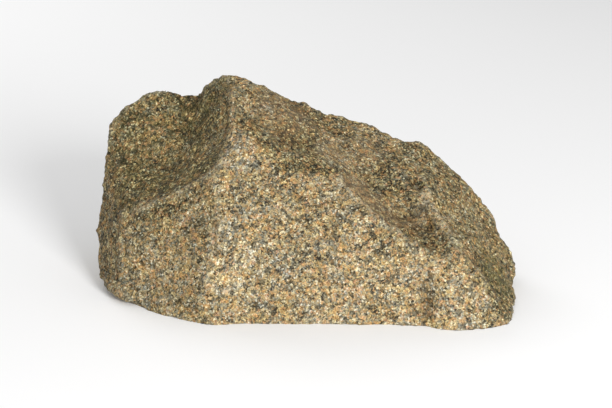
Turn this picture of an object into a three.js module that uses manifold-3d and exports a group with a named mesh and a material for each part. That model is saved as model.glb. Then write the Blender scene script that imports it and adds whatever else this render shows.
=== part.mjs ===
// A rough block of broken granite, in millimetres with +Z up.
//
// The stone is one solid. Its shape comes from the lines along which its fracture faces meet: ridges,
// breaks and the foot it stands on. Each line is a short list of points. Neighbouring points are joined
// into facets, the facets are worn smooth between the ridges, and the surface is given flats, hollows
// and the unevenness of broken rock. The stone lies on a flat foot at z = 0, long side along X, with its
// steep broken face towards -Y. The origin is the middle of its box's lower face.

import * as THREE from "three";
import { ConvexHull } from "three/addons/math/ConvexHull.js";
import { SimplexNoise } from "three/addons/math/SimplexNoise.js";
import { TessellateModifier } from "three/addons/modifiers/TessellateModifier.js";
import { mergeVertices } from "three/addons/utils/BufferGeometryUtils.js";
import Module from "manifold-3d";

// Driving dimensions: the finished stone fills this box exactly.
const LENGTH = 400;
const DEPTH = 250;
const HEIGHT = 193;

// A place inside the stone from which nearly all of its surface can be seen.
const CORE = [35, 15, 70];

// How the surface is made.
const LONGEST_EDGE = 12.5; // of any triangle
const SPLITS = 12; // rounds of halving, more than enough to reach that
const WELD = 1e-3; // vertices closer than this are one
const WEAR_ROUNDS = 10; // how long the faces between the ridges are worn
const WEAR_IN = 0.5; // share of the way to its neighbours' middle that a vertex is worn
const WEAR_OUT = 0.52; // share it is pushed back by, so that the stone doesn't shrink
const RIDGE_REACH = 16; // distance from a ridge at which the surface wears freely
const RIDGE_WEAR = 0.12; // how much a ridge itself wears, as a share of that
const RELIEF = [
  { reach: 60, height: 1.8 },
  { reach: 26, height: 1.1 },
  { reach: 12, height: 0.5 },
];
const SEED = 7;

// The lines along which fracture faces meet, as points [x, y, z]. These stay crisp.
const ridges = {
  // The outline from the front: up the left end, over the top and down to the right end.
  leftEnd: [[-200, -20, 8], [-204, 12, 33], [-201, 24, 62], [-194, 30, 97], [-194, 36, 120],
    [-190, 44, 145]],
  leftShoulder: [[-180, 49, 157], [-162, 54, 167], [-148, 56, 175], [-134, 58, 173], [-124, 60, 166]],
  saddle: [[-114, 61, 162], [-104, 56, 169], [-98, 50, 177], [-89, 43, 186]],
  summit: [[-79, 36, 192], [-66, 28, 194], [-51, 34, 189], [-34, 42, 177]],
  topNotches: [[-20, 48, 166], [-9, 54, 156], [0, 48, 163], [14, 56, 148], [23, 48, 156]],
  longSlope: [[41, 50, 147], [64, 52, 140], [88, 54, 122], [101, 46, 122], [111, 44, 125]],
  rightShoulder: [[123, 42, 117], [136, 40, 107], [149, 36, 96], [163, 32, 80], [175, 26, 66],
    [183, 16, 48]],
  rightEnd: [[192, 6, 38], [199, -4, 26], [201, -20, 13], [198, -50, 4], [191, -80, 2]],

  // From the summit down to the corner at the left, and the corners that stand below it.
  centralRidge: [[-68, 0, 180], [-67, -15, 168], [-67, -32, 156], [-74, -48, 142], [-81, -60, 129]],
  shelfEdge: [[-96, -55, 116], [-110, -51, 110], [-124, -50, 101], [-143, -45, 93], [-163, -38, 85],
    [-176, -28, 75]],
  leftCorner: [[-175, -36, 58], [-174, -47, 37], [-174, -55, 16]],
  nose: [[-79, -73, 104], [-80, -87, 79], [-86, -97, 54], [-91, -103, 34], [-88, -107, 17]],

  // The crest over the front face, and the spur on the other side of the trough behind it.
  crest: [[13, -12, 137], [24, -32, 126], [33, -53, 116], [51, -65, 101], [65, -75, 87], [86, -82, 78],
    [100, -89, 65], [118, -96, 56]],
  spur: [[105, -14, 111], [111, -38, 97], [117, -52, 87], [125, -66, 76], [134, -85, 65], [146, -95, 50],
    [161, -102, 31], [174, -104, 10]],
  blockEdge: [[118, -107, 40], [119, -113, 22]],

  // The foot's front edge.
  frontFoot: [[-187, -42, 7], [-176, -60, 2], [-154, -73, 1], [-139, -85, 0], [-114, -102, 0],
    [-83, -112, 0], [-50, -108, 0], [-32, -111, 0], [22, -109, 0], [71, -112, 0], [104, -116, 0],
    [121, -124, 0], [134, -124, 0], [155, -121, 0], [177, -114, 0], [188, -98, 0]],

  // The back: a broad upright face with a ridge down its middle, a ledge and a corner.
  backBreak: [[-170, 80, 134], [-144, 92, 150], [-108, 86, 150], [-66, 66, 176], [-30, 84, 152],
    [12, 98, 130], [56, 94, 120], [98, 86, 98], [136, 72, 78]],
  backLedge: [[-186, 68, 88], [-162, 102, 84], [-126, 116, 94], [-90, 104, 106]],
  backRidge: [[-66, 86, 150], [-58, 106, 114], [-52, 122, 74], [-46, 130, 36]],
  backCorner: [[98, 86, 98], [116, 102, 60], [128, 108, 22]],
  rightBreak: [[136, 40, 105], [152, 52, 72], [172, 52, 40], [176, 56, 8]],

  // The foot's back edge, carried on below the ground.
  backFoot: [[-194, 4, -2], [-194, 34, -4], [-189, 62, -9], [-170, 98, -9], [-150, 112, -9],
    [-96, 119, -9], [-44, 128, -9], [30, 121, -9], [84, 113, -9], [130, 105, -9], [160, 76, -9],
    [178, 51, -6], [192, 16, -3], [196, -20, -2]],
};

// Points on the faces between those lines, where a face swells or sinks.
const swells = {
  scoop: [[-109, 40, 156], [-118, 28, 141], [-129, 13, 125], [-138, -3, 108], [-155, -17, 96],
    [-92, -10, 138], [-106, -20, 122]],
  shoulderFace: [[-147, 26, 141], [-173, 28, 134], [-180, 6, 104], [-173, -14, 90], [-160, 8, 112]],
  leftFace: [[-190, -14, 50], [-188, -26, 28], [-188, 6, 76]],
  upperFace: [[-29, 8, 166], [-7, -8, 138], [18, 26, 147], [-43, 8, 172], [-24, -20, 147]],
  frontTop: [[-51, -40, 156], [-42, -52, 137], [-31, -60, 122], [-5, -54, 122], [13, -53, 117]],
  frontFace: [[-46, -80, 97], [-5, -88, 81], [39, -86, 68], [-41, -99, 47], [13, -100, 37],
    [66, -98, 42], [89, -97, 48], [146, -113, 30]],
  frontLeft: [[-129, -67, 54], [-133, -75, 23], [-107, -68, 80], [-150, -56, 68]],
  trough: [[37, 16, 134], [52, -8, 115], [71, -31, 96], [86, -46, 85], [101, -62, 76], [115, -78, 66]],
  upperSlope: [[75, 12, 122], [93, 0, 117], [56, 32, 135]],
  rightFace: [[134, -6, 94], [153, -28, 70], [166, -46, 47], [180, -62, 24], [188, -72, 9], [160, 4, 72],
    [178, -14, 42], [190, -32, 20]],
  backFace: [[-128, 118, 50], [-96, 112, 66], [-10, 116, 84], [-14, 124, 40], [40, 108, 84],
    [52, 114, 44], [84, 100, 66], [150, 78, 44], [-162, 104, 46], [-184, 70, 44]],
  topSlope: [[-150, 72, 162], [-112, 72, 157], [-50, 52, 184], [0, 72, 148], [50, 70, 134],
    [100, 64, 114], [150, 52, 78]],

  // Below the ground, so that the cut there leaves a broad flat foot.
  underside: [[-150, -30, -5], [-110, -60, -5], [-30, -80, -5], [60, -80, -5], [130, -90, -5],
    [-150, 30, -8], [-60, 10, -10], [0, 0, -10], [80, -10, -10], [150, 0, -7], [-130, 80, -14],
    [-90, 84, -14], [10, 90, -14], [100, 60, -14]],
};

// Flat faces split off the back and the ends: the way each one faces, and how much went with it.
const flats = {
  backLeft: { facing: [-0.42, 0.86, 0.3], depth: 16 },
  backTop: { facing: [0.1, 0.72, 0.7], depth: 9 },
  backRight: { facing: [0.36, 0.9, 0.25], depth: 14 },
  backLow: { facing: [-0.05, 0.98, -0.2], depth: 8 },
  leftCorner: { facing: [-0.8, 0.6, 0], depth: 8 },
  rightCorner: { facing: [0.66, 0.74, 0.1], depth: 13 },
};

// Hollows where small pieces have broken out: the middle of each, its reach around that and its depth.
const hollows = {
  slotTop: { at: [108, -103, 36], reach: 15, depth: 7 },
  slotFoot: { at: [109, -107, 15], reach: 15, depth: 8 },
  besideSpur: { at: [103, -32, 102], reach: 17, depth: 6 },
  belowSpur: { at: [105, -60, 79], reach: 21, depth: 7 },
  troughEnd: { at: [114, -80, 68], reach: 16, depth: 5 },
  noseChip: { at: [-81, -95, 63], reach: 17, depth: 4 },
  noseFoot: { at: [-98, -106, 30], reach: 20, depth: 5 },
  cornerFoot: { at: [-142, -78, 22], reach: 20, depth: 4 },
  underSummit: { at: [-110, 34, 160], reach: 26, depth: 4 },
  inScoop: { at: [-120, 20, 140], reach: 28, depth: 5 },
  scoopFoot: { at: [-130, 0, 115], reach: 26, depth: 6 },
  upperFace: { at: [-6, -20, 142], reach: 24, depth: 5 },
  crestHead: { at: [20, -40, 127], reach: 18, depth: 4 },
  underSkyline: { at: [18, 26, 149], reach: 22, depth: 4 },
  frontTop: { at: [-38, -52, 135], reach: 20, depth: 4 },
};

const { lerp, smoothstep } = THREE.MathUtils;
const toPoint = (place) => new THREE.Vector3(...place);
const everyPoint = [ridges, swells].flatMap((group) => Object.values(group).flat().map(toPoint));
const ridgeSegments = Object.values(ridges).flatMap((line) =>
  line.slice(1).map((place, i) => new THREE.Line3(toPoint(line[i]), toPoint(place))),
);

// Joins neighbouring points into facets. Seen from the core, every point is brought onto a sphere, and
// the facets of the convex hull there tell which points are neighbours.
function facetsBetween(points) {
  const core = toPoint(CORE);
  const halfSize = new THREE.Vector3(LENGTH, DEPTH, HEIGHT).divideScalar(2);
  const placeOf = new Map();
  for (const point of points) {
    placeOf.set(point.clone().sub(core).divide(halfSize).normalize(), point);
  }
  const hull = new ConvexHull().setFromPoints([...placeOf.keys()]);
  const corners = [];
  for (const face of hull.faces) {
    let edge = face.edge;
    do {
      corners.push(placeOf.get(edge.head().point));
      edge = edge.next;
    } while (edge !== face.edge);
  }
  return new THREE.BufferGeometry().setFromPoints(corners);
}

function welded(geometry) {
  const plain = geometry.clone();
  for (const name of Object.keys(plain.attributes)) {
    if (name !== "position") plain.deleteAttribute(name);
  }
  return mergeVertices(plain, WELD);
}

// Halves the facets' edges until none is longer than LONGEST_EDGE.
function divided(geometry) {
  return welded(new TessellateModifier(LONGEST_EDGE, SPLITS).modify(geometry));
}

function placesOf(geometry) {
  const { position } = geometry.attributes;
  return Array.from({ length: position.count }, (_, v) =>
    new THREE.Vector3().fromBufferAttribute(position, v),
  );
}

function setPlaces(geometry, places) {
  const { position } = geometry.attributes;
  places.forEach((place, v) => position.setXYZ(v, place.x, place.y, place.z));
}

// How freely a vertex wears, from RIDGE_WEAR on a ridge to 1 away from them all.
function softnessAt(place) {
  const nearest = new THREE.Vector3();
  let distance = Infinity;
  for (const segment of ridgeSegments) {
    segment.closestPointToPoint(place, true, nearest);
    distance = Math.min(distance, nearest.distanceTo(place));
  }
  return lerp(RIDGE_WEAR, 1, smoothstep(distance, 0, RIDGE_REACH));
}

// Wears the surface smooth between the ridges. Each round pulls every vertex towards the middle of its
// neighbours and then pushes it back out again.
function wearFaces(geometry) {
  const places = placesOf(geometry);
  const corners = geometry.index.array;
  const around = places.map(() => new Set());
  for (let first = 0; first < corners.length; first += 3) {
    const triangle = corners.slice(first, first + 3);
    for (const v of triangle) {
      for (const other of triangle) {
        if (other !== v) around[v].add(other);
      }
    }
  }
  const softness = places.map(softnessAt);
  for (let round = 0; round < WEAR_ROUNDS; round++) {
    for (const pull of [WEAR_IN, -WEAR_OUT]) {
      const middles = around.map((neighbours) => {
        const middle = new THREE.Vector3();
        for (const other of neighbours) middle.add(places[other]);
        return middle.divideScalar(neighbours.size);
      });
      places.forEach((place, v) => place.lerp(middles[v], pull * softness[v]));
    }
  }
  setPlaces(geometry, places);
}

// Splits the flats off, by bringing all that lies beyond each one back onto it.
function splitFlats(geometry) {
  const places = placesOf(geometry);
  for (const { facing, depth } of Object.values(flats)) {
    const outwards = toPoint(facing).normalize();
    const furthest = Math.max(...places.map((place) => place.dot(outwards)));
    for (const place of places) {
      place.addScaledVector(outwards, Math.min(0, furthest - depth - place.dot(outwards)));
    }
  }
  setPlaces(geometry, places);
}

// The same numbers between 0 and 1 each time, from the minimal standard generator.
function seededRandom(seed) {
  const MULTIPLIER = 16807;
  const MODULUS = 2147483647;
  let state = seed;
  return {
    random() {
      state = (state * MULTIPLIER) % MODULUS;
      return state / MODULUS;
    },
  };
}

// Moves each vertex along its normal, by a few scales of noise and by the depth of the hollows there.
function addRelief(geometry) {
  const noise = new SimplexNoise(seededRandom(SEED));
  geometry.computeVertexNormals();
  const { normal } = geometry.attributes;
  const outwards = new THREE.Vector3();
  const places = placesOf(geometry);
  places.forEach((place, v) => {
    let rise = 0;
    for (const { reach, height } of RELIEF) {
      rise += height * noise.noise3d(place.x / reach, place.y / reach, place.z / reach);
    }
    for (const { at, reach, depth } of Object.values(hollows)) {
      rise -= depth * (1 - smoothstep(place.distanceTo(toPoint(at)), 0, reach));
    }
    place.addScaledVector(outwards.fromBufferAttribute(normal, v), rise);
  });
  setPlaces(geometry, places);
}

const wasm = await Module();
wasm.setup();

function solidFrom(geometry) {
  const { attributes, index } = welded(geometry);
  return new wasm.Manifold(
    new wasm.Mesh({
      numProp: 3,
      vertProperties: attributes.position.array,
      triVerts: new Uint32Array(index.array),
    }),
  );
}

function geometryFrom(solid) {
  const { vertProperties, triVerts } = solid.getMesh();
  const geometry = new THREE.BufferGeometry();
  geometry.setAttribute("position", new THREE.BufferAttribute(vertProperties, 3));
  geometry.setIndex(new THREE.BufferAttribute(triVerts, 1));
  return geometry;
}

// Cuts away what lies below the ground, which leaves the flat foot.
function cutFoot(geometry) {
  const ground = new THREE.BoxGeometry(2 * LENGTH, 2 * DEPTH, HEIGHT);
  ground.translate(0, 0, -HEIGHT / 2);
  return geometryFrom(solidFrom(geometry).subtract(solidFrom(ground)));
}

// Brings the stone to its size and puts the middle of its box's lower face at the origin.
function fitToBox(geometry) {
  geometry.computeBoundingBox();
  const { min, max } = geometry.boundingBox;
  geometry.translate(-(min.x + max.x) / 2, -(min.y + max.y) / 2, -min.z);
  geometry.scale(LENGTH / (max.x - min.x), DEPTH / (max.y - min.y), HEIGHT / (max.z - min.z));
}

function makeStone() {
  const whole = divided(facetsBetween(everyPoint));
  wearFaces(whole);
  splitFlats(whole);
  addRelief(whole);
  const stone = cutFoot(whole);
  fitToBox(stone);
  stone.computeVertexNormals();
  return stone;
}

const granite = new THREE.MeshStandardMaterial({ color: 0x9c8a6a, roughness: 0.85, metalness: 0 });
const rock = new THREE.Mesh(makeStone(), granite);
rock.name = "rock";

const part = new THREE.Group();
part.add(rock);

export default part;
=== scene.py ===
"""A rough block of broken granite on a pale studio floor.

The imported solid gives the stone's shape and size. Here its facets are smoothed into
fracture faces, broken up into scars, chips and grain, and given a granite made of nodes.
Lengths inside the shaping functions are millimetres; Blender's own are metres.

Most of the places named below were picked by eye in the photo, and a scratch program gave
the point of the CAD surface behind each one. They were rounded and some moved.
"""

import bmesh
import bpy
import numpy as np
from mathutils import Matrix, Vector


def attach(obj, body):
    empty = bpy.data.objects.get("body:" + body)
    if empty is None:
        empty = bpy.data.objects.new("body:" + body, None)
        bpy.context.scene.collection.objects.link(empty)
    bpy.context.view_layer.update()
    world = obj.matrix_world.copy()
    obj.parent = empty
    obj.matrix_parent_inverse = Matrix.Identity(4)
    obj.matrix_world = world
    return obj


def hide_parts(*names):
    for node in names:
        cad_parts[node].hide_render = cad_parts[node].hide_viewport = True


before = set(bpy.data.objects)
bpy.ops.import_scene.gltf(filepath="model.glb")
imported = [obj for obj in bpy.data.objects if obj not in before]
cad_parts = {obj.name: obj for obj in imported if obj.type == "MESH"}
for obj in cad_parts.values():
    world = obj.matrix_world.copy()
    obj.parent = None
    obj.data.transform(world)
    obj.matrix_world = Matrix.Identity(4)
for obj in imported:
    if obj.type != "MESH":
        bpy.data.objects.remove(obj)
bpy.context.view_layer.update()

SEED = 11
MM = 0.001

# ---- driving dimensions, mm ----
VOXEL = 1.66
# Points lower than FOOT_SKIN lie on the ground. Being on the ground is spread by FOOT_EDGE
# rounds, and triangles whose points all keep more than FOOT_INSIDE of it are merged.
FOOT_SKIN, FOOT_EDGE, FOOT_INSIDE = 0.8, 12, 0.98
# Rounds of evening out the faces, and the bend between facets that counts as a ridge.
COARSE_ROUNDS, COARSE_BEND = 10, 0.42
FINE_ROUNDS, FINE_BEND = 60, 0.26
# Rounds of moving the points to suit the evened normals.
FIT_ROUNDS = 30

# Broken faces: cell size, depth. Each dish is bowed and tilted, and its outline wanders.
DISHES = ((34.0, 0.35), (15.0, 0.4), (7.5, 0.35))
DISH_BEND, DISH_TILT = 0.9, 0.55
WANDER_FINENESS, WANDER_REACH, WANDER_APART = 1.7, 0.25, 17.3
# Rough grain: size, depth.
GRAIN_RELIEF = ((6.5, 0.5), (3.6, 0.6))
# Broken crystals: size, depth.
CRYSTALS = ((3.4, 0.6), (6.0, 0.6))
# How much ridges stand out and hollows sink, compared with the surface after some rounds of
# spreading, and the height above the ground at which that is in full.
RIDGE_CRISP, HOLLOW_CRISP, RIDGE_ROUNDS, RIDGE_FULL = 0.35, 0.25, 70, 12
# Rounds that even out the directions in which relief is moved.
NORMAL_ROUNDS = 3
# Relief fades in over these heights above the ground, or these tilts of an upright face.
# It is lifted or lowered in full only above LIFT_FULL, and never on the foot.
RELIEF_HEIGHTS, RELIEF_TILTS, LIFT_FULL = (0.2, 2.5), (0.2, 0.6), 6
FOOT_FACING, FOOT_BELOW = -0.8, 3
# How ragged the chips' and creases' outlines are: size, share.
RAGGED = ((9.0, 0.22), (4.0, 0.10))
# Half widths of the pale lines around chips and along creases.
CHIP_RIM, CREASE_RIM = 1.5, 2.2
# Where chips' rims and creases are broken off: size, and the noise from none to full.
RIM_GAPS = (13.0, -0.1, 0.4)
CREASE_GAPS = (16.0, -0.9, -0.3)

# Chips with a sharp rim: middle, radius, depth, how pale the rim is.
CHIPS = {
    "nose": ((-58, -96, 76), 18, 1.4, 0.9),
    "nose low": ((-76, -106, 16), 13, 1.6, 0.2),
    "ridge": ((-84, -54, 122), 11, 1.8, 0.0),
    "summit": ((-62, 22, 196), 10, 1.5, 0.0),
    "saddle": ((-112, 56, 166), 19, 4.0, 0.0),
    "beside spur": ((103, -24, 106), 9, 6.5, 0.0),
    "trough low": ((108, -64, 74), 14, 2.0, 0.0),
    "scoop lip": ((-128, -50, 104), 12, 1.8, 0.0),
    "crest high": ((18, -16, 140), 11, 1.8, 0.3),
    "crest": ((42, -50, 118), 12, 2.2, 0.5),
    "crest low": ((92, -84, 78), 12, 2.2, 0.3),
    "spur": ((110, -40, 98), 11, 2.2, 0.5),
    "spur low": ((118, -72, 84), 12, 2.2, 0.2),
    "left edge": ((-178, -36, 84), 11, 1.8, 0.2),
    "foot left": ((-156, -76, 6), 10, 2.4, 0.0),
    "foot corner": ((-192, -36, 12), 9, 2.0, 0.0),
    "foot nose": ((-92, -112, 6), 15, 2.5, 0.0),
    "foot middle": ((-20, -114, 4), 13, 1.6, 0.0),
    "foot right": ((66, -114, 4), 14, 1.8, 0.0),
    "trough": ((92, -48, 86), 17, 2.4, 0.0),
}
# Sharp edges between the faces, and cracks where the height is below zero: height, reach,
# how pale, and the points along each.
CREASES = {
    "crest": (
        2.4, 11, 0.4,
        [(15, -15, 136), (33, -54, 115), (58, -74, 91), (84, -84, 75), (106, -95, 58)],
    ),
    "spur": (2.8, 10, 0.5, [(104, -23, 106), (109, -45, 92), (122, -64, 79), (134, -82, 65)]),
    "spur low": (2.8, 9, 0.15, [(134, -82, 65), (160, -95, 33), (170, -98, 18)]),
    "nose": (2.2, 9, 0.4, [(-81, -60, 126), (-77, -79, 92), (-83, -92, 59), (-88, -101, 29)]),
    "left corner": (1.8, 8, 0.35, [(-168, -33, 79), (-171, -47, 42), (-170, -58, 12)]),
    "shelf": (2.0, 8, 0.55, [(-82, -56, 129), (-95, -53, 116), (-121, -50, 101), (-153, -43, 85)]),
    "central": (1.4, 8, 0.4, [(-68, 0, 179), (-68, -26, 156), (-76, -48, 139)]),
    "nose scar": (2.6, 5, 1.0, [(-73, -83, 88), (-77, -87, 80), (-77, -89, 71), (-75, -91, 66)]),
    "nose crack": (-3.0, 4.5, 0.0, [(-81, -84, 84), (-81, -88, 74), (-81, -90, 60)]),
    "nose arc": (
        3.0, 5.5, 1.0,
        [(-89, -98, 37), (-82, -102, 31), (-77, -103, 28), (-70, -102, 29), (-63, -102, 34)],
    ),
    "scoop crack": (-2.2, 4, 0.0, [(-117, 41, 154), (-112, 28, 141), (-109, 6, 135)]),
    "trough crack": (-1.6, 4, 0.0, [(42, -3, 123), (56, -21, 109), (73, -37, 96)]),
    "spur notch": (-4.0, 6, 0.0, [(101, -20, 109), (104, -25, 105), (105, -31, 101)]),
    "top notch": (-3.0, 7, 0.0, [(19, 44, 154), (20, 33, 148), (21, 25, 142)]),
}
# Knocked spots where the crystals are crushed pale: middle, reach, strength.
BRUISES = (
    ((-70, 25, 191), 5, 0.8),
    ((-76, -54, 135), 6, 0.9),
    ((-115, -52, 104), 6, 0.8),
    ((-168, -32, 80), 5, 0.6),
    ((15, -15, 136), 4, 0.7),
    ((31, -53, 117), 6, 0.9),
    ((84, -83, 78), 4, 0.7),
    ((105, -94, 59), 4, 0.7),
    ((119, -98, 54), 4, 0.7),
    ((110, -40, 95), 7, 0.9),
)
# Upright slot beside the block: its two ends, half width, depth.
SLOT = ((104, -106, 36), (105, -112, 12), 8.5, 4.2)
# Places where the stone is fuller, or leaner where below zero: middle, reach, height.
SWELLS = (
    ((-186, -44, 6), 24, 5.0),
    ((-170, -64, 2), 22, 5.0),
    ((-150, 62, 160), 15, 4.0),
    ((-132, 63, 163), 15, 4.0),
    ((-112, 62, 160), 15, 4.0),
    ((-14, 36, 170), 17, -3.6),
    ((1, 40, 161), 11, 3.2),
    ((108, 38, 124), 16, 3.2),
    ((176, 15, 56), 16, 4.0),
)


# ---- numbers that repeat on every run ----
class Lattice:
    """Random values on a cubic lattice, the same on every run."""

    SIZE = 256
    # Brings the noise to about -1 to 1.
    GAIN = 1.6
    # Steps to other rows of the tables, so that a cell's draws are unlike each other.
    TO_LIFT, TO_SLOPE, TO_LEVEL = 7, 31, 13
    LIFT = 0.5

    def __init__(self, seed):
        rng = np.random.default_rng(seed)
        self.order = rng.permutation(self.SIZE)
        directions = rng.normal(size=(self.SIZE, 3))
        self.gradient = directions / np.linalg.norm(directions, axis=1, keepdims=True)
        self.value = rng.random((self.SIZE, 3))

    def index(self, cells):
        last = self.SIZE - 1
        i = self.order[cells[:, 2] & last]
        i = self.order[(cells[:, 1] + i) & last]
        return self.order[(cells[:, 0] + i) & last]

    def noise(self, points):
        """Gradient noise, about -1 to 1, one feature per unit."""
        cell = np.floor(points).astype(np.int64)
        part = points - cell
        fade = part * part * part * (part * (part * 6 - 15) + 10)
        total = np.zeros(len(points))
        for corner in np.ndindex(2, 2, 2):
            corner = np.array(corner)
            away = part - corner
            slope = (self.gradient[self.index(cell + corner)] * away).sum(axis=1)
            share = np.where(corner == 1, fade, 1 - fade).prod(axis=1)
            total += slope * share
        return total * self.GAIN

    def dishes(self, points, bend, tilt):
        """Lower envelope of tilted bowls, one per cell: hollow scars that meet in low ridges."""
        cell = np.floor(points).astype(np.int64)
        lowest = np.full(len(points), np.inf)
        for step in np.ndindex(3, 3, 3):
            near = cell + np.array(step) - 1
            i = self.index(near)
            away = points - (near + self.value[i])
            lift = self.value[(i + self.TO_LIFT) % self.SIZE, 0]
            slope = self.gradient[(i + self.TO_SLOPE) % self.SIZE]
            bowl = lift * self.LIFT + bend * (away * away).sum(axis=1)
            bowl += tilt * (slope * away).sum(axis=1)
            lowest = np.minimum(lowest, bowl)
        return lowest

    def grains(self, points):
        """One random height per cell: crystals broken off at different levels."""
        cell = np.floor(points).astype(np.int64)
        nearest = np.full(len(points), np.inf)
        height = np.zeros(len(points))
        for step in np.ndindex(3, 3, 3):
            near = cell + np.array(step) - 1
            i = self.index(near)
            away = ((points - near - self.value[i]) ** 2).sum(axis=1)
            closer = away < nearest
            nearest[closer] = away[closer]
            height[closer] = self.value[(i[closer] + self.TO_LEVEL) % self.SIZE, 1]
        return height - 0.5


def smooth(low, high, x):
    """From 0 at low to 1 at high, which may be the smaller number."""
    t = np.clip((x - low) / (high - low), 0, 1)
    return t * t * (3 - 2 * t)


# ---- mesh arrays ----
WELD_PLACES = 7


def arrays_of(mesh):
    points = np.empty(len(mesh.vertices) * 3)
    mesh.vertices.foreach_get("co", points)
    mesh.calc_loop_triangles()
    tris = np.empty(len(mesh.loop_triangles) * 3, dtype=np.int64)
    mesh.loop_triangles.foreach_get("vertices", tris)
    return points.reshape(-1, 3), tris.reshape(-1, 3)


def mesh_from(name, points, tris):
    mesh = bpy.data.meshes.new(name)
    mesh.from_pydata(points.tolist(), [], tris.tolist())
    mesh.validate()
    mesh.update()
    return mesh


def welded(points, tris):
    """Joins points that share a place, in metres to WELD_PLACES decimals."""
    keys = np.round(points, WELD_PLACES)
    unique, index = np.unique(keys, axis=0, return_inverse=True)
    tris = index.reshape(-1)[tris]
    whole = (tris[:, 0] != tris[:, 1]) & (tris[:, 1] != tris[:, 2]) & (tris[:, 2] != tris[:, 0])
    return unique, tris[whole]


def scattered(index, values, count):
    """Sums rows of values into count rows."""
    return np.stack(
        [np.bincount(index, values[:, k], count) for k in range(values.shape[1])], axis=1
    )


def unit(v):
    return v / np.maximum(np.linalg.norm(v, axis=1, keepdims=True), 1e-12)


def face_normals(points, tris):
    a, b, c = points[tris[:, 0]], points[tris[:, 1]], points[tris[:, 2]]
    return np.cross(b - a, c - a)


def point_normals(points, tris):
    area = face_normals(points, tris)
    total = np.zeros_like(points)
    for k in range(3):
        total += scattered(tris[:, k], area, len(points))
    return unit(total)


class Net:
    """A closed surface's edges, for spreading values over it."""

    def __init__(self, tris, count):
        sides = np.vstack([tris[:, [0, 1]], tris[:, [1, 2]], tris[:, [2, 0]]])
        owner = np.tile(np.arange(len(tris)), 3)
        sides.sort(axis=1)
        key = sides[:, 0] * count + sides[:, 1]
        order = np.argsort(key, kind="stable")
        same = key[order][1:] == key[order][:-1]
        first = np.flatnonzero(same)
        self.faces = np.stack([owner[order[first]], owner[order[first + 1]]], axis=1)
        self.edges = sides[order[np.append(True, ~same)]]
        self.count = count
        ends = np.bincount(self.edges.ravel(), minlength=count)
        self.valence = np.maximum(ends, 1)

    def spread(self, values, rounds):
        """Averages each point's value with its neighbours', a number of times."""
        flat = values.ndim == 1
        v = values.reshape(-1, 1) if flat else values
        a, b = self.edges[:, 0], self.edges[:, 1]
        for _ in range(rounds):
            total = scattered(a, v[b], self.count) + scattered(b, v[a], self.count)
            v = 0.5 * v + 0.5 * total / self.valence[:, None]
        return v[:, 0] if flat else v


# ---- from facets to fracture faces ----
def remeshed(points, tris, voxel):
    mesh = mesh_from("rough_start", points, tris)
    obj = bpy.data.objects.new("rough_start", mesh)
    bpy.context.scene.collection.objects.link(obj)
    mod = obj.modifiers.new("voxels", "REMESH")
    mod.mode = "VOXEL"
    mod.voxel_size = voxel
    mod.adaptivity = 0
    shaped = obj.evaluated_get(bpy.context.evaluated_depsgraph_get())
    result = arrays_of(shaped.to_mesh())
    shaped.to_mesh_clear()
    bpy.data.objects.remove(obj)
    bpy.data.meshes.remove(mesh)
    return result


def fracture_faces(points, tris, net, rounds, bend):
    """Evens out the facets' normals, but not across ridges, then moves the points to suit."""
    foot = points[:, 2] < FOOT_SKIN
    normals = unit(face_normals(points, tris))
    a, b = net.faces[:, 0], net.faces[:, 1]
    for _ in range(rounds):
        gap = ((normals[a] - normals[b]) ** 2).sum(axis=1)
        share = np.exp(-gap / bend**2)[:, None]
        total = scattered(a, share * normals[b], len(tris))
        total += scattered(b, share * normals[a], len(tris))
        normals = unit(normals * 0.5 + total)
    faces_at = np.maximum(np.bincount(tris.ravel(), minlength=len(points)), 1)[:, None]
    for _ in range(FIT_ROUNDS):
        centre = points[tris].mean(axis=1)
        move = np.zeros_like(points)
        for k in range(3):
            away = centre - points[tris[:, k]]
            pull = normals * (normals * away).sum(axis=1, keepdims=True)
            move += scattered(tris[:, k], pull, len(points))
        points = points + move / faces_at
    points[foot, 2] = 0
    points[:, 2] = np.maximum(points[:, 2], 0)
    return points


# ---- the stone ----
def surface_relief(points):
    """Height of the broken faces, the rough grain and the broken crystals."""
    lattice = Lattice(SEED)
    height = np.zeros(len(points))
    for size, depth in DISHES:
        at = points / size
        wander = np.stack(
            [lattice.noise(at * WANDER_FINENESS + k * WANDER_APART) for k in range(3)], axis=1
        )
        bowls = lattice.dishes(at + wander * WANDER_REACH, DISH_BEND, DISH_TILT)
        height += depth * (bowls - bowls.mean()) / bowls.std()
    for size, depth in GRAIN_RELIEF:
        height += depth * lattice.noise(points / size + size)
    for size, depth in CRYSTALS:
        height += depth * lattice.grains(points / size + size)
    return height


def distance_to(line, points):
    """Distance from each point to a line of straight stretches."""
    nearest = np.full(len(points), np.inf)
    for start, end in zip(line, line[1:]):
        start, along = np.array(start, dtype=float), np.subtract(end, start).astype(float)
        t = np.clip(((points - start) @ along) / (along @ along), 0, 1)
        nearest = np.minimum(nearest, np.linalg.norm(points - (start + t[:, None] * along), axis=1))
    return nearest


def on_surface(line, points):
    """The surface point nearest to each point of a line."""
    return [points[np.argmin(((points - np.array(at)) ** 2).sum(axis=1))] for at in line]


def gaps(lattice, points, size, none, full):
    return smooth(none, full, lattice.noise(points / size))


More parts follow.
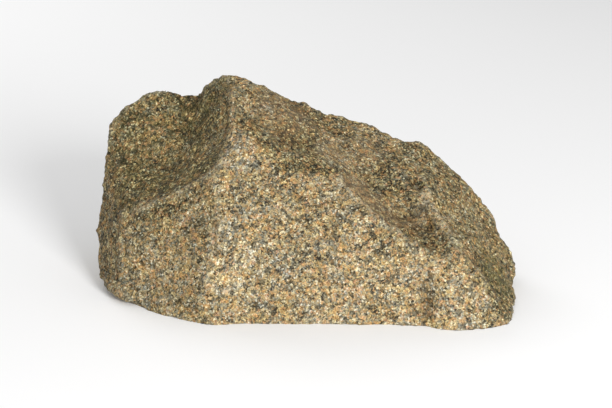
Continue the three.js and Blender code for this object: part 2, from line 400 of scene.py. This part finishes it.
def chips(points):
    """Depth of the named chips and creases, and how close each point is to a pale rim."""
    lattice = Lattice(SEED + 1)
    ragged = np.ones(len(points))
    for size, share in RAGGED:
        ragged = ragged + share * lattice.noise(points / size)
    depth = np.zeros(len(points))
    rim = np.zeros(len(points))
    for middle, radius, deep, pale in CHIPS.values():
        away = np.linalg.norm(points - np.array(middle), axis=1) / (radius * ragged)
        depth = np.maximum(depth, deep * np.clip(1 - away**2, 0, None))
        rim = np.maximum(rim, pale * np.exp(-(((away - 1) * radius / CHIP_RIM) ** 2)))
    rim *= gaps(lattice, points, *RIM_GAPS)
    for middle, reach, strength in BRUISES:
        away = np.linalg.norm(points - np.array(middle), axis=1) / (reach * ragged)
        rim = np.maximum(rim, strength * np.exp(-(away**2)))
    top, foot, half, deep = SLOT
    away = distance_to([top, foot], points) / (half * ragged)
    depth = np.maximum(depth, deep * np.clip(1 - away**2, 0, None))
    broken = gaps(lattice, points, *CREASE_GAPS)
    for height, reach, pale, line in CREASES.values():
        away = distance_to(on_surface(line, points), points) / ragged
        depth -= height * broken * np.clip(1 - away / reach, 0, None)
        rim = np.maximum(rim, pale * broken * np.exp(-((away / CREASE_RIM) ** 2)))
    return depth, rim


def stone_arrays():
    """The finished stone's points, mm, its triangles, its net and its pale rims."""
    points, tris = welded(*arrays_of(bpy.data.objects["rock"].data))
    net = Net(tris, len(points))
    points = fracture_faces(points / MM, tris, net, COARSE_ROUNDS, COARSE_BEND)
    points, tris = remeshed(points * MM, tris, VOXEL * MM)
    net = Net(tris, len(points))
    points = fracture_faces(points / MM, tris, net, FINE_ROUNDS, FINE_BEND)
    normals = unit(net.spread(point_normals(points, tris), NORMAL_ROUNDS))
    bulge = ((points - net.spread(points, RIDGE_ROUNDS)) * normals).sum(axis=1)
    crisp = np.where(bulge > 0, RIDGE_CRISP, HOLLOW_CRISP)
    bulge *= crisp * smooth(0, RIDGE_FULL, points[:, 2])
    points = points + normals * bulge[:, None]
    depth, rim = chips(points)
    height = surface_relief(points) - depth
    for middle, reach, much in SWELLS:
        height += much * smooth(reach, 0, np.linalg.norm(points - np.array(middle), axis=1))
    above = points[:, 2]
    sideways = np.hypot(normals[:, 0], normals[:, 1])
    free = np.maximum(smooth(*RELIEF_HEIGHTS, above), smooth(*RELIEF_TILTS, sideways))
    foot = (normals[:, 2] < FOOT_FACING) & (above < FOOT_BELOW)
    free[foot] = 0
    move = normals * height[:, None]
    move[:, 2] *= smooth(0, LIFT_FULL, above)
    points = points + move * free[:, None]
    points[:, 2] = np.maximum(points[:, 2], 0)
    points[points[:, 2] < FOOT_SKIN, 2] = 0
    return points, tris, net, rim


# The faces seen from the front, each an outline of (x, z) corners, with how weathered
# it is, how mossy, and how far back it reaches. How weathered is partly painted shade:
# faces turned away from the key light, such as the scoop and the trough, are made darker
# than the lights alone make them.
FACES = {
    "scoop": (
        0.9, 0.5,
        [(-178, 70), (-142, 95), (-108, 108), (-73, 139), (-70, 162), (-68, 189), (-78, 205),
         (-200, 205), (-186, 110)],
    ),
    "left end": (
        0.35, 0.1,
        [(-240, 205), (-186, 205), (-180, 139), (-177, 110), (-171, 78), (-169, 38), (-169, -9),
         (-240, -9)],
    ),
    "below shelf": (
        0.55, 0.1,
        [(-180, 72), (-142, 95), (-108, 108), (-90, 122), (-84, 110), (-104, 92), (-140, 80),
         (-172, 56)],
    ),
    "front left": (
        0.1, 0.2,
        [(-108, 108), (-74, 135), (-77, 79), (-81, 40), (-84, -9), (-169, -9), (-169, 38),
         (-171, 78), (-142, 95)],
    ),
    "front": (
        0.1, 0.0,
        [(-70, 150), (-60, 158), (-50, 155), (-38, 142), (-26, 126), (-4, 124), (19, 119),
         (34, 115), (50, 99), (66, 85), (83, 73), (101, 63), (119, 57), (134, 64), (145, 50),
         (160, 28), (171, 9), (175, -9), (-84, -9), (-81, 40), (-77, 79), (-74, 135)],
    ),
    "upper": (
        0.7, 0.1,
        [(-68, 188), (-40, 178), (-4, 160), (13, 151), (14, 136), (34, 115), (19, 119),
         (-4, 124), (-26, 126), (-38, 142), (-50, 155), (-60, 158)],
    ),
    "trough": (
        0.55, 0.0,
        [(14, 136), (34, 115), (50, 99), (66, 85), (83, 73), (101, 63), (119, 57), (134, 65),
         (124, 76), (111, 96), (105, 109), (90, 118), (53, 133)],
    ),
    "right": (
        0.46, 0.2,
        [(105, 109), (111, 96), (124, 76), (145, 50), (160, 28), (172, 9), (175, -9), (240, -9),
         (240, 120), (120, 130)],
    ),
}
# They blend over FACE_EDGE to either side of an outline that wanders: size, distance.
FACE_EDGE = 2.0
FACE_WANDER = ((7.0, 2.2), (3.0, 1.2))
# They end this far back, within FACE_FADE of a plane that wanders: size, distance.
FACE_BACK, FACE_FADE = 55, 12
BACK_WANDER = (20, 8)
# The rest of the stone, and its share in the blend.
REST_WEATHERED, REST_MOSSY, REST_SHARE = 0.4, 0.1, 1e-3
# Spots and patches end and are in full at these shares of their reach.
SPOT_FADE, PATCH_FADE = (1.3, 0.3), (1.25, 0.3)

# Lighter spots on them, freshly broken or washed clean, and darker ones where below zero:
# middle, reach, how much less weathered. Two are painted light and painted shade: one lifts
# a wall that faces away from the key light, and one darkens a cavity where shadow falls.
FRESH_LIT_AND_SHADED = (
    ((-54, -94, 76), 22, 0.45),
    ((-68, -102, 40), 30, 0.6),
    ((40, -104, 18), 60, 0.3),
    ((92, -104, 34), 26, 0.3),
    ((126, -112, 24), 24, 0.35),
    ((-45, 8, 174), 34, 0.5),
    # Painted light: lifts the wall left of the central ridge, which faces away from the key light.
    ((-82, -20, 148), 26, 0.5),
    ((-148, 30, 148), 32, 0.35),
    ((-130, -78, 30), 40, 0.25),
    ((-120, 5, 115), 34, 0.3),
    ((42, -5, 121), 26, 0.35),
    ((84, -40, 92), 26, 0.2),
    ((112, -58, 82), 20, 0.4),
    # Painted shade: darkens the cavity beside the spur, where shadow falls.
    ((104, -24, 106), 9, -1.0),
    ((111, -32, 99), 7, 0.6),
    ((-118, -56, 95), 18, -0.3),
    ((-8, -13, 138), 22, -0.2),
    ((172, -72, 28), 30, -0.5),
)

# Patches of moss: middle, reach, strength.
MOSS = (
    ((177, -62, 28), 32, 1.0),
    ((160, -53, 50), 20, 0.6),
    ((-95, 30, 155), 30, 0.8),
)

# Patches of thin brown skin that blurs the grain: middle, reach, strength.
BROWN = (
    ((46, -44, 109), 20, 1.0),
    ((64, -56, 96), 20, 1.0),
    ((82, -60, 88), 20, 1.0),
    ((98, -58, 86), 16, 0.8),
    ((24, -12, 128), 24, 0.7),
    ((-20, 10, 162), 40, 0.7),
    ((55, 10, 125), 26, 0.5),
)


# Rounds of spreading that show how far a point stands out from its surroundings.
EDGE_ROUNDS = 60


def patches(spots, points):
    """How strongly each point lies in one of the spots."""
    much = np.zeros(len(points))
    for middle, reach, strength in spots:
        away = np.linalg.norm(points - np.array(middle), axis=1) / reach
        much = np.maximum(much, strength * smooth(*PATCH_FADE, away))
    return much


def inside(outline, x, z):
    """Distance into an outline, mm; below zero outside it."""
    nearest = np.full(len(x), np.inf)
    within = np.zeros(len(x), dtype=bool)
    for (ax, az), (bx, bz) in zip(outline, outline[1:] + outline[:1]):
        dx, dz = bx - ax, bz - az
        t = np.clip(((x - ax) * dx + (z - az) * dz) / (dx * dx + dz * dz), 0, 1)
        nearest = np.minimum(nearest, np.hypot(x - ax - t * dx, z - az - t * dz))
        if dz:
            across = ((az > z) != (bz > z)) & (x < dx * (z - az) / dz + ax)
            within ^= across
    return np.where(within, nearest, -nearest)


def weathering_and_shade(points):
    """How weathered and how mossy each point is; the weathering is partly painted shade, and two
    spots in it are painted light and painted shade.
    """
    lattice = Lattice(SEED + 2)
    ragged = np.zeros(len(points))
    for size, much in FACE_WANDER:
        ragged = ragged + much * lattice.noise(points / size)
    size, much = BACK_WANDER
    back = points[:, 1] + much * lattice.noise(points / size)
    front = smooth(FACE_BACK + FACE_FADE, FACE_BACK - FACE_FADE, back)
    total = np.full(len(points), REST_SHARE)
    worn = REST_WEATHERED * total
    mossy = REST_MOSSY * total
    for weathered, moss, outline in FACES.values():
        depth = inside(outline, points[:, 0], points[:, 2]) + ragged
        share = smooth(-FACE_EDGE, FACE_EDGE, depth)
        total += share
        worn += share * weathered
        mossy += share * moss
    worn = front * worn / total + (1 - front) * REST_WEATHERED
    mossy = front * mossy / total + (1 - front) * REST_MOSSY
    for middle, reach, much in FRESH_LIT_AND_SHADED:
        away = np.linalg.norm(points - np.array(middle), axis=1) / reach
        worn = worn - much * smooth(*SPOT_FADE, away)
    return worn, np.maximum(mossy, patches(MOSS, points))


def merged_foot(mesh, well_inside):
    """Puts a few large triangles in place of the many small ones of the flat foot."""
    shape = bmesh.new()
    shape.from_mesh(mesh)
    ground = [face for face in shape.faces if all(well_inside[v.index] for v in face.verts)]
    bmesh.ops.delete(shape, geom=ground, context="FACES")
    border = [edge for edge in shape.edges if edge.is_boundary]
    bmesh.ops.triangle_fill(shape, edges=border, normal=(0, 0, -1))
    shape.to_mesh(mesh)
    shape.free()


def make_stone():
    """The stone as one piece, with what the granite needs to know at each of its points."""
    points, tris, net, rim = stone_arrays()
    normals = point_normals(points, tris)
    weathered, mossy = weathering_and_shade(points)
    facts = {"rim": rim, "weathered": weathered, "moss": mossy, "brown": patches(BROWN, points)}
    facts["broad_edge"] = ((points - net.spread(points, EDGE_ROUNDS)) * normals).sum(axis=1)
    mesh = mesh_from("stone", points * MM, tris)
    for name, values in facts.items():
        mesh.attributes.new(name, "FLOAT", "POINT").data.foreach_set("value", values)
    on_ground = (points[:, 2] == 0).astype(float)
    merged_foot(mesh, net.spread(on_ground, FOOT_EDGE) > FOOT_INSIDE)
    mesh.polygons.foreach_set("use_smooth", np.ones(len(mesh.polygons), dtype=bool))
    obj = bpy.data.objects.new("stone", mesh)
    bpy.context.scene.collection.objects.link(obj)
    return obj


# ---- studio, metres ----
FLOOR_SIZE, FLOOR_MIDDLE = 12, (0, 2, 0)
FLOOR_GREY, FLOOR_ROUGH = 0.94, 0.9
SKY_STRENGTH = 0.55
LIGHTS_AIM = (0, 0, 0.08)
# Place, width, watts.
LIGHTS = {"key": ((1.05, -2.3, 0.95), 0.8, 76), "back_fill": ((-1.2, 1.8, 1.6), 1.5, 16)}
# The photo's angle is judged to be 18 degrees above level, on the long side. The lens is a
# guess, and a search for the best overlap of the outlines set the place. Lens, sensor in mm.
CAMERA_PLACE = (0.0008, -1.2986, 0.4986)
CAMERA_AIM = (0.0008, -0.0046, 0.0782)
LENS, SENSOR = 85, 36


def studio_floor():
    bpy.ops.mesh.primitive_plane_add(size=FLOOR_SIZE, location=FLOOR_MIDDLE)
    floor = bpy.context.object
    floor.name = "floor"
    mat = bpy.data.materials.new("floor")
    mat.use_nodes = True
    shader = mat.node_tree.nodes["Principled BSDF"]
    shader.inputs["Base Color"].default_value = (*[FLOOR_GREY] * 3, 1)
    shader.inputs["Roughness"].default_value = FLOOR_ROUGH
    floor.data.materials.append(mat)


def area_light(name, place, aim, size, watts):
    data = bpy.data.lights.new(name, "AREA")
    data.shape = "DISK"
    data.size = size
    data.energy = watts
    light = bpy.data.objects.new(name, data)
    light.location = place
    light.rotation_euler = (Vector(aim) - Vector(place)).to_track_quat("-Z", "Y").to_euler()
    bpy.context.scene.collection.objects.link(light)


def studio():
    studio_floor()
    world = bpy.context.scene.world or bpy.data.worlds.new("world")
    bpy.context.scene.world = world
    world.use_nodes = True
    sky = world.node_tree.nodes["Background"]
    sky.inputs["Color"].default_value = (1, 1, 1, 1)
    sky.inputs["Strength"].default_value = SKY_STRENGTH
    for name, (place, size, watts) in LIGHTS.items():
        area_light(name, place, LIGHTS_AIM, size, watts)
    bpy.context.scene.view_settings.view_transform = "Standard"


def camera():
    data = bpy.data.cameras.new("camera")
    data.sensor_width = SENSOR
    data.lens = LENS
    cam = bpy.data.objects.new("camera", data)
    cam.location = CAMERA_PLACE
    cam.rotation_euler = (Vector(CAMERA_AIM) - cam.location).to_track_quat("-Z", "Y").to_euler()
    bpy.context.scene.collection.objects.link(cam)
    bpy.context.scene.camera = cam


# ---- granite ----
class Shader:
    """Short names for making and joining nodes."""

    def __init__(self, name):
        self.material = bpy.data.materials.new(name)
        self.material.use_nodes = True
        self.tree = self.material.node_tree
        self.out = self.tree.nodes["Principled BSDF"]
        self.place = self.node("TexCoord").outputs["Object"]

    def put(self, socket, value):
        if isinstance(value, bpy.types.NodeSocket):
            self.tree.links.new(value, socket)
        elif value is not None:
            socket.default_value = value

    def node(self, kind, inputs=(), **settings):
        made = self.tree.nodes.new("ShaderNode" + kind)
        for key, value in settings.items():
            setattr(made, key, value)
        for key, value in dict(inputs).items():
            self.put(made.inputs[key], value)
        return made

    def math(self, operation, a, b=None, c=None, clamp=False):
        made = self.node("Math", operation=operation, use_clamp=clamp)
        for socket, value in zip(made.inputs, (a, b, c)):
            self.put(socket, value)
        return made.outputs[0]

    def shift(self, vector, noise, reach):
        """Moves coordinates about by a noise colour."""
        centred = self.node("VectorMath", {0: noise, 1: (0.5, 0.5, 0.5)}, operation="SUBTRACT")
        scaled = self.tinted(centred.outputs[0], reach)
        return self.node("VectorMath", {0: vector, 1: scaled}, operation="ADD").outputs[0]

    def combed(self, vector, along, squeeze):
        """Coordinates squeezed along a direction, so that noise on them runs in streaks."""
        much = self.node("VectorMath", {0: vector, 1: along}, operation="DOT_PRODUCT")
        shift = self.node("VectorMath", {0: along}, operation="SCALE")
        self.put(shift.inputs["Scale"], self.math("MULTIPLY", much.outputs["Value"], squeeze - 1))
        return self.node(
            "VectorMath", {0: vector, 1: shift.outputs[0]}, operation="ADD"
        ).outputs[0]

    def noise(self, vector, size, detail, rough, want="Fac"):
        made = self.node(
            "TexNoise",
            {"Vector": vector, "Scale": 1 / (size * MM), "Detail": detail, "Roughness": rough},
        )
        return made.outputs[want]

    def cells(self, vector, size):
        return self.node("TexVoronoi", {"Vector": vector, "Scale": 1 / (size * MM)}).outputs

    def span(self, value, low, high, to_low=0.0, to_high=1.0):
        made = self.node(
            "MapRange",
            {"Value": value, "From Min": low, "From Max": high, "To Min": to_low, "To Max": to_high},
        )
        return made.outputs[0]

    def ramp(self, value, stops):
        """Picks the colour of the last stop that the value has passed."""
        made = self.node("ValToRGB", {"Fac": value})
        made.color_ramp.interpolation = "CONSTANT"
        elements = made.color_ramp.elements
        while len(elements) > 1:
            elements.remove(elements[-1])
        elements[0].position, elements[0].color = stops[0][0], (*stops[0][1], 1)
        for place, colour in stops[1:]:
            elements.new(place).color = (*colour, 1)
        return made.outputs["Color"]

    def mix(self, share, a, b, blend="MIX"):
        made = self.node("Mix", data_type="RGBA", blend_type=blend)
        for name, value in (("Factor", share), ("A", a), ("B", b)):
            socket = [s for s in made.inputs if s.name == name and s.enabled][0]
            if isinstance(value, tuple):
                value = (*value, 1)
            self.put(socket, value)
        return [s for s in made.outputs if s.enabled][0]

    def tinted(self, colour, value):
        """Colour times a plain number."""
        return self.node(
            "VectorMath", {0: colour, "Scale": value}, operation="SCALE"
        ).outputs[0]

    def fact(self, name):
        return self.node("Attribute", attribute_name=name).outputs["Fac"]


def linear(red, green, blue):
    """Screen colour, 0 to 255, as light."""
    scaled = [v / 255 for v in (red, green, blue)]
    return tuple(v / 12.92 if v < 0.04045 else ((v + 0.055) / 1.055) ** 2.4 for v in scaled)


ORANGE = linear(187, 150, 104)
TAN = linear(178, 154, 110)
SALMON = linear(189, 150, 116)
CREAM = linear(197, 182, 139)
PALE = linear(228, 220, 190)
QUARTZ = linear(149, 147, 129)
GREY = linear(113, 107, 87)
DARK_GREY = linear(80, 71, 52)
BLACK = linear(44, 37, 25)


# Directions in which the broken faces are streaked, to the left and to the right of the
# places across the stone, in metres, between which one gives way to the other.
STREAK_LEFT = (0.5, 0.3, 0.81)
STREAK_RIGHT = (0.63, -0.56, -0.54)
STREAK_TURN = (-0.09, -0.05)
STREAK_SQUEEZE = 0.3

# The size of large and small grains, mm, and how far their outlines wander.
GRAIN, GRAIN_WANDER = 3.0, 3.0
SPECK, SPECK_WANDER = 1.5, 1.4
# Noises: size in mm, detail, roughness.
OUTLINE = (1.3, 4, 0.7)
CLOT = (9, 2, 0.5)
CLEAVAGE = (1.2, 2, 0.6)
STREAK = (1.7, 2, 0.6)
STAIN = (13, 3, 0.6)
PATCHY = (30, 4, 0.6)
TUFT = (8, 4, 0.65)
BRUISED = (2.6, 3, 0.6)
PITTED = (1.3, 3, 0.6)
# Nearly all of a noise lies between these.
MOST = (0.3, 0.7)

# Each mineral, from the draw at which it begins. The draw is part chance and part clot.
MINERALS = (
    (0.0, BLACK), (0.15, DARK_GREY), (0.28, GREY), (0.40, QUARTZ), (0.48, CREAM),
    (0.58, TAN), (0.69, ORANGE), (0.79, SALMON), (0.85, PALE), (0.91, CREAM),
)
CHANCE_SHARE, CLOT_SHARE = 0.68, 0.32
SPECKS = (
    (0.0, BLACK), (0.22, GREY), (0.42, QUARTZ), (0.52, TAN), (0.74, ORANGE), (0.86, PALE),
)
# Light a grain or speck gives back, as a share, and how much of the rock the specks cover.
GRAIN_TONES, SPECK_TONE = (0.58, 1.0), 0.78
SPECK_COVER = (0.5, 0.56, 0.22, 0.75)
CLEAVAGE_TONES = (0.38, 1.57)

# Streaks: from how weathered to how weathered, how strong, and their tones and tints.
STREAK_WHERE, STREAK_STRENGTH, STREAK_TONES = (0.1, 0.7), (0.1, 1.0), (0.62, 1.38)
TINT_SPAN, WARM_TINT, COOL_TINT = (0.35, 0.65), (1.025, 0.995, 0.93), (0.975, 1.005, 1.07)
STAIN_SPAN, UNSTAINED, STAINED = (0.36, 0.64), (0.94, 0.98, 1.07), (1.07, 0.98, 0.80)

# The weathered skin, partly painted shade where the weathering share is: how patchy, its
# contrast, how grey, its tint, and how much lighter a spot is that is less weathered than not at
# all.
SKIN_PATCHY, SKIN_GAMMA, SKIN_GREY, SKIN_TINT = (-0.28, 0.28), 1.55, 0.32, (1.04, 1.05, 0.80)
WASHED, WASHED_TONES = (-0.5, 0), (1.25, 1.0)
BROWN_COLOUR, BROWN_SHARE = linear(126, 104, 79), 0.36
MOSS_COLOUR, MOSS_SHARE, MOSS_SPAN = linear(94, 90, 46), 0.5, (0.35, 0.6)

# The colour is made darker where the surface is this many mm below its surroundings, and
# edges are worn where it stands this many above them.
HOLLOW_DARK_COLOUR, HOLLOW_DARK_SHARE, HOLLOW_DARK_DEPTHS = linear(150, 134, 106), 0.5, (-0.3, -2.4)
WORN_HEIGHTS, WORN_SHARE = (0.8, 2.6), 0.4
BRUISE_COLOUR, BRUISE_SHARE, BRUISE_SPAN = linear(206, 194, 166), 0.62, (0.42, 0.6)

# The polish of a grain by its draw, and the finest relief: shares of BUMP_DEPTH mm.
SHINE_DRAWS, ROUGHNESS, SPECULAR = (0.26, 0.46), (0.62, 0.84), 0.2
GRAIN_BUMP, SPECK_BUMP, NOISE_BUMP = 0.35, 0.2, 0.4
BUMP_DEPTH, BUMP_STRENGTH = 1.0, 0.9


def draws(s, wander, reach, size):
    """Three chances for each grain of a size."""
    at = s.shift(s.place, wander, reach * MM)
    return s.node("SeparateColor", {"Color": s.cells(at, size)["Color"]}).outputs


def mixed_grains(s):
    """The rock's colour from its large and small grains, and the chances of both."""
    wander = s.noise(s.place, *OUTLINE, want="Color")
    large = draws(s, wander, GRAIN_WANDER, GRAIN)
    clot = s.span(s.noise(s.place, *CLOT), *MOST, 0.0, CLOT_SHARE)
    mineral = s.ramp(s.math("MULTIPLY_ADD", large[0], CHANCE_SHARE, clot), MINERALS)
    mineral = s.tinted(mineral, s.span(large[1], 0, 1, *GRAIN_TONES))

    small = draws(s, wander, SPECK_WANDER, SPECK)
    speck = s.tinted(s.ramp(small[0], SPECKS), SPECK_TONE)
    rock = s.mix(s.span(small[1], *SPECK_COVER), mineral, speck)
    cleavage = s.span(s.noise(s.place, *CLEAVAGE), *MOST, *CLEAVAGE_TONES)
    return s.tinted(rock, cleavage), large, small


def streaked(s, rock):
    """Fine streaks left by the break, and iron stain that comes and goes in small patches."""
    across = s.node("SeparateXYZ", {"Vector": s.place}).outputs[0]
    streaks = s.mix(
        s.span(across, *STREAK_TURN),
        s.noise(s.combed(s.place, STREAK_LEFT, STREAK_SQUEEZE), *STREAK, want="Color"),
        s.noise(s.combed(s.place, STREAK_RIGHT, STREAK_SQUEEZE), *STREAK, want="Color"),
    )
    streaks = s.node("SeparateColor", {"Color": streaks}).outputs
    strength = s.span(s.fact("weathered"), *STREAK_WHERE, *STREAK_STRENGTH)
    rock = s.mix(strength, rock, s.tinted(rock, s.span(streaks[0], *MOST, *STREAK_TONES)))
    tint = s.mix(s.span(streaks[1], *TINT_SPAN), WARM_TINT, COOL_TINT)
    rock = s.mix(1.0, rock, tint, "MULTIPLY")
    stain = s.span(s.noise(s.place, *STAIN), *STAIN_SPAN)
    return s.mix(1.0, rock, s.mix(stain, UNSTAINED, STAINED), "MULTIPLY")


def weathered_skin(s, rock):
    """A skin that is darker, and harsher between grains, with brown patches and moss; its darkening
    is partly painted shade.
    """
    patchy = s.span(s.noise(s.place, *PATCHY), *MOST, *SKIN_PATCHY)
    # Darkening by the weathering share: partly real weathering, partly painted shade.
    skin = s.math("ADD", s.fact("weathered"), patchy, clamp=True)
    gamma = s.span(skin, 0, 1, 1, SKIN_GAMMA)
    harsh = s.node("Gamma", {"Color": rock, "Gamma": gamma}).outputs[0]
    plain = s.node("RGBToBW", {"Color": harsh}).outputs[0]
    harsh = s.mix(s.math("MULTIPLY", skin, SKIN_GREY), harsh, plain)
    rock = s.mix(skin, harsh, SKIN_TINT, "MULTIPLY")
    rock = s.tinted(rock, s.span(s.fact("weathered"), *WASHED, *WASHED_TONES))
    rock = s.mix(s.math("MULTIPLY", s.fact("brown"), BROWN_SHARE), rock, BROWN_COLOUR)
    tufts = s.span(s.noise(s.place, *TUFT), *MOSS_SPAN)
    moss = s.math("MULTIPLY", s.fact("moss"), tufts)
    return s.mix(s.math("MULTIPLY", moss, MOSS_SHARE), rock, MOSS_COLOUR)


def darker_hollows_and_bruises(s, rock):
    """Darker colour in the hollows, and bruises on the edges and at the named rims."""
    # The colour is multiplied darker where the surface lies below its surroundings.
    hollow = s.span(s.fact("broad_edge"), *HOLLOW_DARK_DEPTHS)
    rock = s.mix(s.math("MULTIPLY", hollow, HOLLOW_DARK_SHARE), rock, HOLLOW_DARK_COLOUR, "MULTIPLY")
    worn = s.span(s.fact("broad_edge"), *WORN_HEIGHTS)
    bruise = s.math("MAXIMUM", s.math("MULTIPLY", worn, WORN_SHARE), s.fact("rim"))
    broken = s.span(s.noise(s.place, *BRUISED), *BRUISE_SPAN)
    bruise = s.math("MULTIPLY", bruise, broken)
    return s.mix(s.math("MULTIPLY", bruise, BRUISE_SHARE), rock, BRUISE_COLOUR)


def granite():
    s = Shader("granite")
    rock, large, small = mixed_grains(s)
    rock = darker_hollows_and_bruises(s, weathered_skin(s, streaked(s, rock)))
    s.put(s.out.inputs["Base Color"], rock)
    s.put(s.out.inputs["Roughness"], s.span(large[0], *SHINE_DRAWS, *ROUGHNESS))
    s.out.inputs["Specular IOR Level"].default_value = SPECULAR

    height = s.math("MULTIPLY", large[2], GRAIN_BUMP)
    height = s.math("MULTIPLY_ADD", small[2], SPECK_BUMP, height)
    height = s.math("MULTIPLY_ADD", s.noise(s.place, *PITTED), NOISE_BUMP, height)
    bump = s.node(
        "Bump", {"Height": height, "Distance": BUMP_DEPTH * MM, "Strength": BUMP_STRENGTH}
    )
    s.put(s.out.inputs["Normal"], bump.outputs[0])
    return s.material


camera()
studio()
stone = make_stone()
stone.data.materials.append(granite())
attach(stone, "root")
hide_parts("rock")
